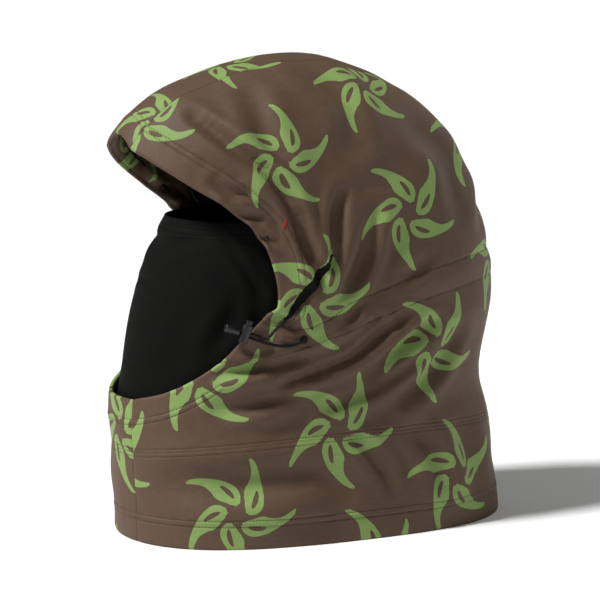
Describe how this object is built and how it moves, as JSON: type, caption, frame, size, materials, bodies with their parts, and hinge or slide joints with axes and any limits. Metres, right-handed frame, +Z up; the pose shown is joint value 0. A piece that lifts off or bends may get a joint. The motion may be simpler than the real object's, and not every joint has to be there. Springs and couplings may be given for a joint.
{
  "type": "balaclava",
  "caption": "Snowboard balaclava: three-panel printed hood with drawcord, tall neck gaiter and a black stretch face mask that pulls down.",
  "frame": {"origin": "centre of the body's box at the bottom of the hem, where the hood stands", "axes": "+Z up to the crown, -Y the face side, +X the wearer's left"},
  "size_m": [0.196, 0.341, 0.3858],
  "materials": {
    "printed_knit": "brushed-back polyester knit, matt with a soft sheen, printed",
    "black_lining": "brushed knit, matt",
    "mask_jersey": "stretch jersey, matt",
    "braided_elastic": "braided",
    "black_plastic": "moulded, satin",
    "spring_steel": "bright",
    "red_thread": "stitched"
  },
  "bodies": {
    "hood": {"crown_strip": "printed_knit", "rear_channel": "printed_knit", "front_strip_upper": "printed_knit", "front_strip_lower": "printed_knit", "crown_facing": "printed_knit", "front_rim_facing": "printed_knit", "front_hem_facing": "printed_knit", "side_panel_left": "printed_knit", "side_panel_right": "printed_knit", "neck_panel_left": "printed_knit", "neck_panel_right": "printed_knit", "gaiter_panel_left": "printed_knit", "gaiter_panel_right": "printed_knit", "face_facing_left": "printed_knit", "face_facing_right": "printed_knit", "rim_facing_left": "printed_knit", "rim_facing_right": "printed_knit", "hem_facing_left": "printed_knit", "hem_facing_right": "printed_knit", "crown_lining": "black_lining", "channel_lining": "black_lining", "front_lining_upper": "black_lining", "front_lining_lower": "black_lining", "side_lining_left": "black_lining", "side_lining_right": "black_lining", "neck_lining_left": "black_lining", "neck_lining_right": "black_lining", "rim_lining_left": "black_lining", "rim_lining_right": "black_lining", "gaiter_lining_left": "black_lining", "gaiter_lining_right": "black_lining", "cheek_gusset_left": "black_lining", "cheek_gusset_right": "black_lining", "mask_front": "mask_jersey", "rear_cord": "braided_elastic", "brim_cord": "braided_elastic", "rear_strand_left": "braided_elastic", "rear_strand_right": "braided_elastic", "front_strand_left": "braided_elastic", "front_strand_right": "braided_elastic", "eyelet_left": "braided_elastic", "eyelet_right": "braided_elastic", "cord_end_left": "black_plastic", "cord_end_right": "black_plastic", "bartack_left": "red_thread", "bartack_right": "red_thread"},
    "mask_top": {"mask_hem": "mask_jersey"},
    "lock_left": {"lock_body_left": "black_plastic", "lock_spring_left": "spring_steel"},
    "button_left": {"lock_button_left": "black_plastic"},
    "lock_right": {"lock_body_right": "black_plastic", "lock_spring_right": "spring_steel"},
    "button_right": {"lock_button_right": "black_plastic"}
  },
  "joints": [
    {"name": "mask_drop", "type": "slide", "parent": "hood", "child": "mask_top", "axis": [0, 0, -1], "range_m": [0, 0.09], "deforming": ["mask_front"]},
    {"name": "lock_slide_left", "type": "slide", "parent": "hood", "child": "lock_left", "axis": [0.2124, 0.9154, -0.342], "range_m": [0, 0.012]},
    {"name": "lock_press_left", "type": "slide", "parent": "lock_left", "child": "button_left", "axis": [-0.0773, -0.3332, -0.9397], "range_m": [0, 0.0022], "stiffness_N_per_m": 400, "deforming": ["lock_spring_left"]},
    {"name": "lock_slide_right", "type": "slide", "parent": "hood", "child": "lock_right", "axis": [-0.2124, 0.9154, -0.342], "range_m": [0, 0.012]},
    {"name": "lock_press_right", "type": "slide", "parent": "lock_right", "child": "button_right", "axis": [0.0773, -0.3332, -0.9397], "range_m": [0, 0.0022], "stiffness_N_per_m": 400, "deforming": ["lock_spring_right"]}
  ]
}
